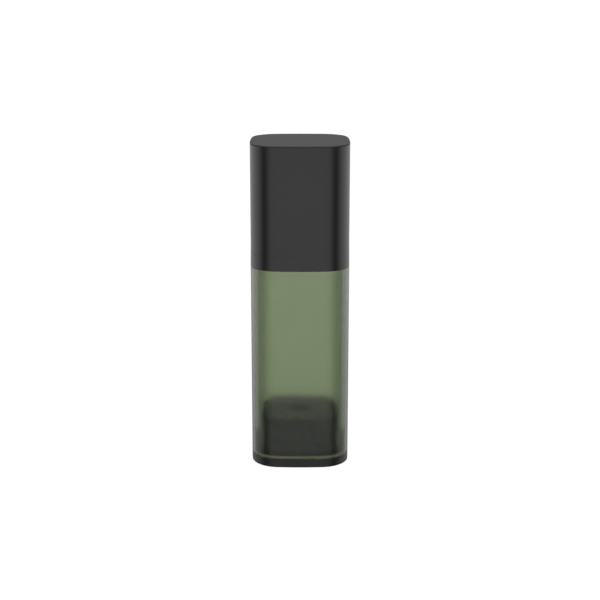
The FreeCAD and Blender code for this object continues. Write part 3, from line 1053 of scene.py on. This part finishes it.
@dataclass
class Button(SubAssembly):
    """Dished finger button with its spout, guide keys and nozzle tip."""

    radius: float = 6.65 * MM
    wall: float = 1.1 * MM
    top_round: float = 0.8 * MM
    dish_rim: float = 1.0 * MM
    dish_depth: float = 1.0 * MM
    ceiling: float = 1.6 * MM
    hub_low: float = 93.0 * MM
    hub_radius: float = 4.2 * MM
    socket_radius: float = 2.53 * MM
    key_half: float = 0.8 * MM
    key_reach: float = 7.15 * MM
    key_length: float = 6.2 * MM
    spout_radius: float = 2.2 * MM
    spout_tip_radius: float = 1.9 * MM
    spout_round: float = 0.25 * MM
    pocket_radius: float = 1.42 * MM
    outlet_radius: float = 0.6 * MM
    tip_fit: float = 0.02 * MM
    rim_steps: int = 6
    dish_steps: int = 10
    spout_end_steps: int = 4
    tip_end_steps: int = 3

    def build(self) -> None:
        """Model and dress the button and its nozzle tip."""
        low, high = levels("actuator_button")
        tip_low, tip_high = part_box("nozzle_tip")
        nozzle = (tip_low.z + tip_high.z) / 2
        bm = self.shell(low, high)
        spout_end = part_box("actuator_button")[0].y
        bm = merged(bm, self.spout(nozzle, -spout_end), Merge.JOIN)
        for side in (-1, 1):
            ends = sorted((side * (self.radius - self.wall / 2), side * self.key_reach))
            key = block((ends[0], -self.key_half, low), (ends[1], self.key_half, low + self.key_length))
            bm = merged(bm, key, Merge.JOIN)
        inner, outer = -tip_high.y, -2 * spout_end
        pocket = turn_profile([
            (0.0, inner), (self.pocket_radius, inner), (self.pocket_radius, outer), (0.0, outer),
        ], closed=False, steps=NOZZLE_STEPS)
        self.face_front(pocket, nozzle)
        bm = merged(bm, pocket, Merge.REMOVE)
        self.shop.publish(bm, "button", Body.BUTTON, Slot.BLACK_SATIN, "actuator_button")
        self.build_tip(nozzle, -tip_high.y, -tip_low.y, -spout_end)

    def shell(self, low: float, high: float) -> BMesh:
        """Turned body: skirt, rounded rim, dished top and stem hub.

        Args:
            low: Level of the skirt's lower edge.
            high: Level of the rim.

        Returns:
            The body.
        """
        dish_radius = self.radius - self.dish_rim
        ball = (dish_radius ** 2 + self.dish_depth ** 2) / (2 * self.dish_depth)
        half = math.degrees(math.asin(dish_radius / ball))
        rim = corner_points(self.radius, high, self.top_round, self.rim_steps)
        dish = arc_points((0.0, high - self.dish_depth + ball), ball, half - 90, -90, self.dish_steps)
        ceiling = high - self.dish_depth - self.ceiling
        socket_top = levels("pump_stem")[1]
        inside = [(0.0, socket_top), (self.socket_radius, socket_top), (self.socket_radius, self.hub_low),
                  (self.hub_radius, self.hub_low), (self.hub_radius, ceiling),
                  (self.radius - self.wall, ceiling), (self.radius - self.wall, low), (self.radius, low)]
        return turn_profile(list(reversed(inside + rim + dish)), closed=False)

    def face_front(self, bm: BMesh, nozzle: float) -> None:
        """Lay a shape that was turned about +Z along the nozzle's line to the front."""
        bmesh.ops.rotate(bm, verts=bm.verts, cent=(0, 0, 0), matrix=Matrix.Rotation(math.pi / 2, 3, "X"))
        bmesh.ops.translate(bm, verts=bm.verts, vec=UP * nozzle)

    def spout(self, nozzle: float, reach: float) -> BMesh:
        """Tapered spout with a softened end.

        Args:
            nozzle: Level of the nozzle's line.
            reach: How far the spout reaches from the axis.

        Returns:
            The spout.
        """
        end = corner_points(self.spout_tip_radius, reach, self.spout_round, self.spout_end_steps)
        root = self.hub_radius / 2
        bm = turn_profile([(0.0, root), (self.spout_radius, root), *end, (0.0, reach)],
                          closed=False, steps=SPOUT_STEPS)
        self.face_front(bm, nozzle)
        return bm

    def build_tip(self, nozzle: float, low: float, high: float, face: float) -> None:
        """Outlet insert that sits in the spout's end.

        Args:
            nozzle: Level of the nozzle's line.
            low: Distance of its inner end from the axis.
            high: Distance of its outer end from the axis.
            face: Distance of the spout's end from the axis.
        """
        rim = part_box("nozzle_tip")[1].x
        plug = self.pocket_radius - self.tip_fit
        rounding = self.spout_round / 2
        end = corner_points(plug, high, rounding, self.tip_end_steps)
        bm = turn_profile([
            (self.outlet_radius, low), (plug, low), (plug, face), (rim, face), *end,
            (self.outlet_radius + rounding, high), (self.outlet_radius, high - rounding),
        ], steps=NOZZLE_STEPS)
        self.face_front(bm, nozzle)
        self.shop.publish(bm, "nozzle_insert", Body.BUTTON, Slot.BLACK_SATIN, "nozzle_tip")


@dataclass
class Spring(SubAssembly):
    """Return spring between the stem guide and the button's hub."""

    wire: float = 0.7 * MM
    mean_radius: float = 3.5 * MM
    turns: int = 5
    steps_per_turn: int = 40
    wire_sides: int = 12
    seat_gap: float = 0.02 * MM

    def build(self) -> None:
        """Model and dress the spring, and give the piece a mesh of its own."""
        low, high = levels("return_spring")
        bottom = low + self.wire / 2
        steps = self.turns * self.steps_per_turn
        rise = (high - low - self.wire) / steps
        bm = bmesh.new()
        place = Matrix.Translation((self.mean_radius, 0, bottom)) @ Matrix.Rotation(math.pi / 2, 4, "X")
        circle = bmesh.ops.create_circle(bm, cap_ends=False, radius=self.wire / 2, segments=self.wire_sides,
                                         matrix=place)
        verts = circle["verts"]
        edges = edges_of(verts)
        spun = bmesh.ops.spin(bm, geom=verts + edges, cent=(0, 0, 0), axis=UP, dvec=UP * rise,
                              angle=2 * math.pi * self.turns, steps=steps)
        fill(bm, edges)
        fill(bm, [item for item in spun["geom_last"] if isinstance(item, BMEdge)])
        piece = self.shop.publish(bm, "spring", Body.BOTTLE, Slot.BRIGHT_STEEL, "return_spring")
        press = next(joint for joint in frame["joints"] if joint["name"] == "button_press")
        length = high - low + 2 * self.seat_gap
        keep = 1 - press["range_m"][1] / length
        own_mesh(piece)


@dataclass
class PumpWorks(SubAssembly):
    """Inner pieces of the pump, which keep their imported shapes."""

    plastic: tuple[str, ...] = (
        "snap_ring", "pump_housing", "stem_guide", "ball_cage", "pump_stem", "plunger",
    )
    seals: tuple[str, ...] = ("plunger_seal", "housing_gasket")
    steel: tuple[str, ...] = ("inlet_ball",)

    def build(self) -> None:
        """Dress the pieces."""
        self.shop.dress(Slot.NATURAL_PLASTIC, *self.plastic)
        self.shop.dress(Slot.SOFT_SEAL, *self.seals)
        self.shop.dress(Slot.BRIGHT_STEEL, *self.steel)


@dataclass
class Studio:
    """Pale floor, white surround with dark flags in its reflections, a soft overhead lamp, and the camera.

    Lengths are in metres. Bearings and their widths are in degrees from the front.
    """

    floor_half: float = 8.0
    floor_glow: float = 0.93
    floor_shadow_share: float = 0.12
    floor_bounce: float = 0.8
    # Painted shade on the floor in reflections: how much darker it is at the bottle, and how fast that
    # fades with distance.
    painted_shade_depth: float = 0.6
    painted_shade_reach: float = 0.22
    sheen: float = 1.08
    flag_bearing: float = 59.5
    flag_width: float = 20.0
    flag_depth: float = 0.95
    side_bearing: float = 112.0
    side_width: float = 26.0
    side_lift: float = 0.15
    back_bearing: float = 180.0
    back_width: float = 35.0
    back_dip: float = 0.55
    horizon_low: float = -0.12
    horizon_high: float = 0.04
    sky_low: float = 0.137
    sky_high: float = 0.75
    fill: float = 0.85
    lamp_height: float = 1.1
    lamp_size: float = 0.9
    lamp_power: float = 1.6
    lens: float = 74.36
    sensor: float = 36.0
    eye: tuple[float, float, float] = (0.0, -405.77 * MM, 160.98 * MM)
    tilt: float = 75.234

    def build(self) -> None:
        """Set up the studio."""
        bpy.context.scene.view_settings.view_transform = "Standard"
        self.build_floor()
        self.build_world()
        self.build_lamp()
        self.build_camera()

    def build_floor(self) -> None:
        """White floor that keeps a faint shadow and lets mirror rays through to the surround, with painted
        shade that darkens what they see near the bottle.
        """
        bm = bmesh.new()
        bmesh.ops.create_grid(bm, x_segments=1, y_segments=1, size=self.floor_half)
        floor = placed_object(bm, "floor")
        material, graph = new_material("floor_white")
        place = graph.place()
        x, y = graph.axis(place, "X"), graph.axis(place, "Y")
        distance = (x * x + y * y) ** 0.5
        seen = graph.ray("Is Camera Ray", "Is Transmission Ray")
        glow = graph.node("ShaderNodeEmission", sockets={"Strength": seen * self.floor_glow})
        bounce = self.floor_bounce - (self.floor_bounce - self.floor_shadow_share) * seen
        cloth = graph.node("ShaderNodeBsdfDiffuse", sockets={"Color": self.grey(graph, bounce)})
        both = graph.node("ShaderNodeAddShader", sockets={0: glow, 1: cloth})
        # Painted shade: mirror rays see the floor darker near the bottle, in place of its contact shadow.
        painted_floor_shade = 1 - self.painted_shade_depth * math.e ** (0 - distance / self.painted_shade_reach)
        window = graph.node("ShaderNodeBsdfTransparent", sockets={"Color": self.grey(graph, painted_floor_shade)})
        mirrored = graph.ray("Is Glossy Ray") * (1 - seen)
        surface = graph.node("ShaderNodeMixShader", sockets={0: mirrored, 1: both, 2: window})
        graph.node("ShaderNodeOutputMaterial", sockets={"Surface": surface})
        floor.data.materials.append(material)

    def grey(self, graph: ShaderGraph, level: Signal) -> Signal:
        """A grey of one level."""
        return graph.node("ShaderNodeCombineColor", sockets={0: level, 1: level, 2: level})

    def hump(self, value: Signal, centre: float, width: float) -> Signal:
        """Smooth hump of height 1 about a centre."""
        spread = (value - centre) / width
        return math.e ** (0 - spread * spread)

    def build_world(self) -> None:
        """White surround, with two soft dark flags and a dimmer sky in reflections."""
        world = bpy.data.worlds.new("studio_surround")
        world.use_nodes = True
        world.cycles.sampling_method = "NONE"
        bpy.context.scene.world = world
        graph = ShaderGraph(world.node_tree)
        way = graph.place("Generated")
        x, y, height = (graph.axis(way, name) for name in "XYZ")
        bearing = graph.math("ARCTAN2", graph.math("ABSOLUTE", x), 0 - y) * math.degrees(1)
        ground = self.sheen * (
            1 - self.flag_depth * self.hump(bearing, self.flag_bearing, self.flag_width)
            + self.side_lift * self.hump(bearing, self.side_bearing, self.side_width)
            - self.back_dip * self.hump(bearing, self.back_bearing, self.back_width)
        )
        sky = self.sky_low + (self.sky_high - self.sky_low) * graph.math("MAXIMUM", height, 0.0)
        above = graph.node("ShaderNodeMapRange", {"interpolation_type": "SMOOTHSTEP"}, {
            "Value": height, "From Min": self.horizon_low, "From Max": self.horizon_high,
        })
        mirror_level = ground + (sky - ground) * above
        seen = graph.ray("Is Camera Ray", "Is Transmission Ray")
        lit = graph.ray("Is Diffuse Ray")
        mirrored = (1 - seen) * (1 - lit)
        surround = graph.node("ShaderNodeBackground", sockets={
            "Color": opaque((1.0, 1.0, 1.0)),
            "Strength": seen + lit * self.fill + mirrored * mirror_level,
        })
        graph.node("ShaderNodeOutputWorld", sockets={"Surface": surround})

    def build_lamp(self) -> None:
        """Large soft lamp overhead."""
        lamp = bpy.data.lights.new("overhead_softbox", "AREA")
        lamp.size = self.lamp_size
        lamp.energy = self.lamp_power
        holder = bpy.data.objects.new("overhead_softbox", lamp)
        holder.location = UP * self.lamp_height
        bpy.context.scene.collection.objects.link(holder)

    def build_camera(self) -> None:
        """Camera at the photograph's view."""
        data = bpy.data.cameras.new("camera")
        data.lens = self.lens
        data.sensor_width = self.sensor
        camera = bpy.data.objects.new("camera", data)
        camera.location = self.eye
        camera.rotation_euler = (math.radians(self.tilt), 0, 0)
        bpy.context.scene.collection.objects.link(camera)
        bpy.context.scene.camera = camera


def main() -> None:
    """Build every sub-assembly, dress it and light it."""
    logging.basicConfig(level=logging.INFO, format="%(name)s %(message)s")
    shop = Workshop()
    plan = PlanOutline()
    for assembly in (Bottle, Follower, Cap, Closure, Button, Spring, PumpWorks):
        assembly(shop, plan).build()
    Studio().build()


if __name__ == "__main__":
    main()
